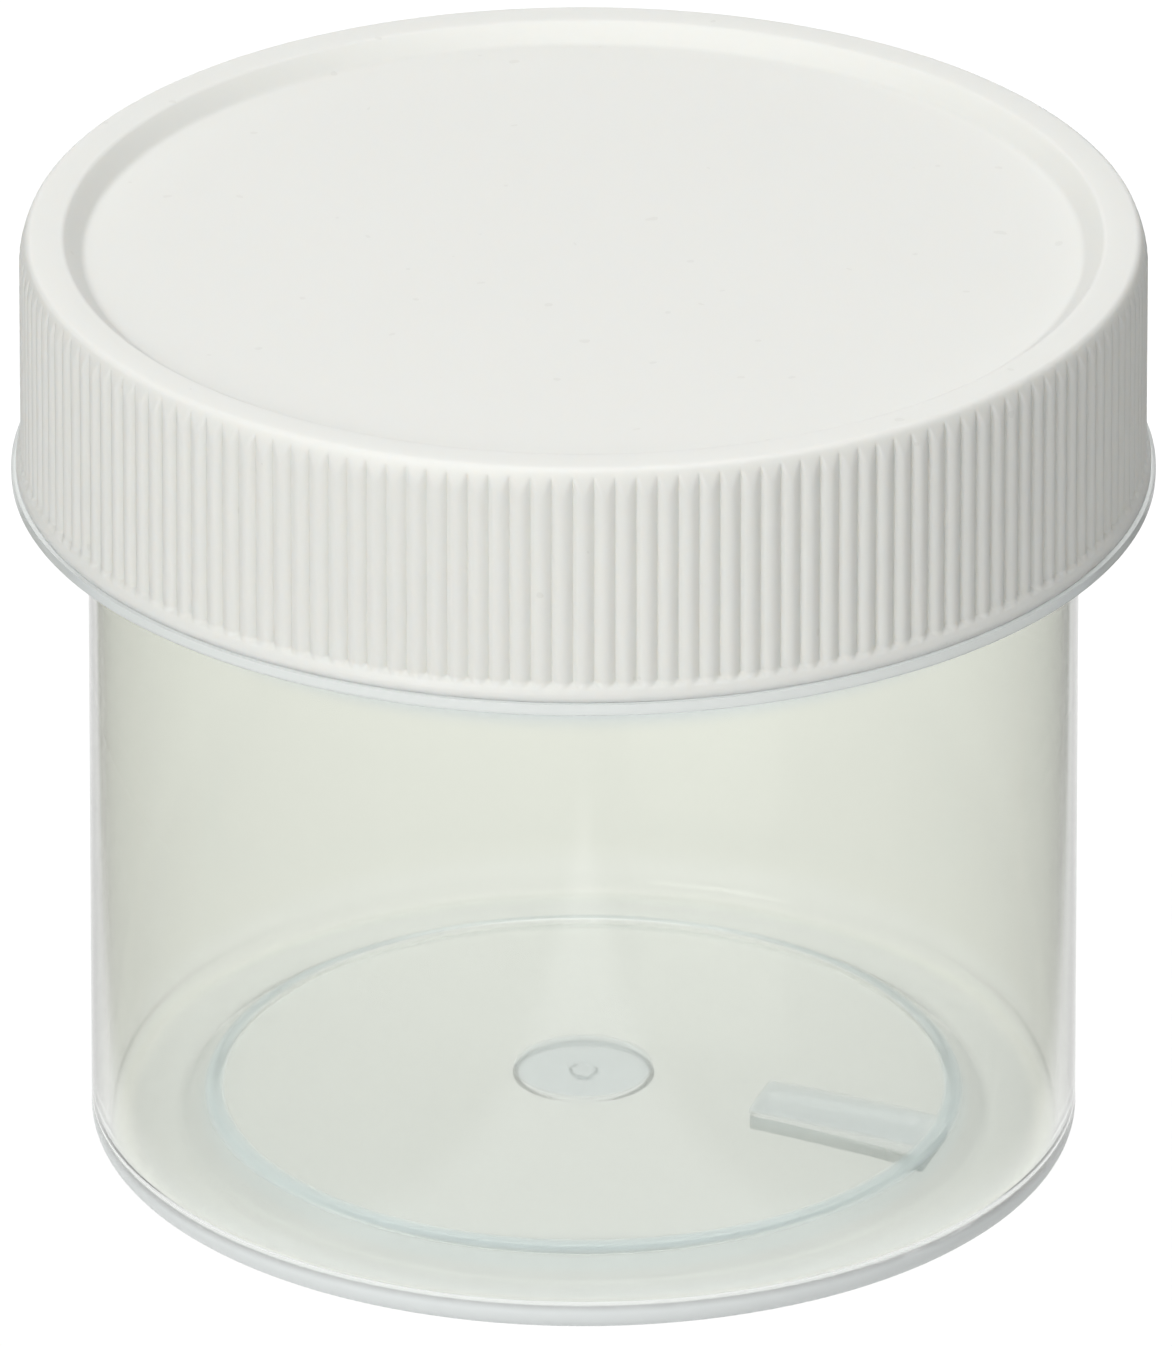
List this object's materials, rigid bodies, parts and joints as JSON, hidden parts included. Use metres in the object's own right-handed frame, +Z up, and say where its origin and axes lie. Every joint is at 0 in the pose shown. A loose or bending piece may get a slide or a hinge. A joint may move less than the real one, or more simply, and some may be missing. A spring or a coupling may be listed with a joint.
{
  "type": "slide staining jar",
  "caption": "Straight-sided translucent moulded jar with a flat ribbed screw cap and liner, for dipping slides in stain by hand.",
  "frame": {"origin": "middle of the base, on the surface that the jar stands on", "axes": "+Z up along the jar's axis, towards the cap; +X and +Y square to it, with the pad under the floor 19 degrees from +X towards -Y"},
  "size_m": [0.0736, 0.0736, 0.0629],
  "materials": {
    "translucent_wall": "clear natural moulded plastic with a slight milky haze",
    "liner_foam": "smooth white foamed sheet",
    "white_cap": "opaque white moulded plastic with a fine satin grain"
  },
  "bodies": {
    "jar": {"jar_body": "translucent_wall"},
    "liner": {"cap_liner": "liner_foam"},
    "cap": {"screw_cap": "white_cap"}
  },
  "joints": [
    {"name": "cap_lift", "type": "slide", "parent": "jar", "child": "liner", "axis": [0, 0, 1], "range_m": [0, 0.0128]},
    {"name": "cap_turn", "type": "hinge", "parent": "liner", "child": "cap", "pos_m": [0, 0, 0.06], "axis": [0, 0, 1], "range_deg": [0, 1080]}
  ],
  "couplings": [
    {"joint": "cap_lift", "follows": "cap_turn", "m_per_rad": 0.0006737}
  ]
}
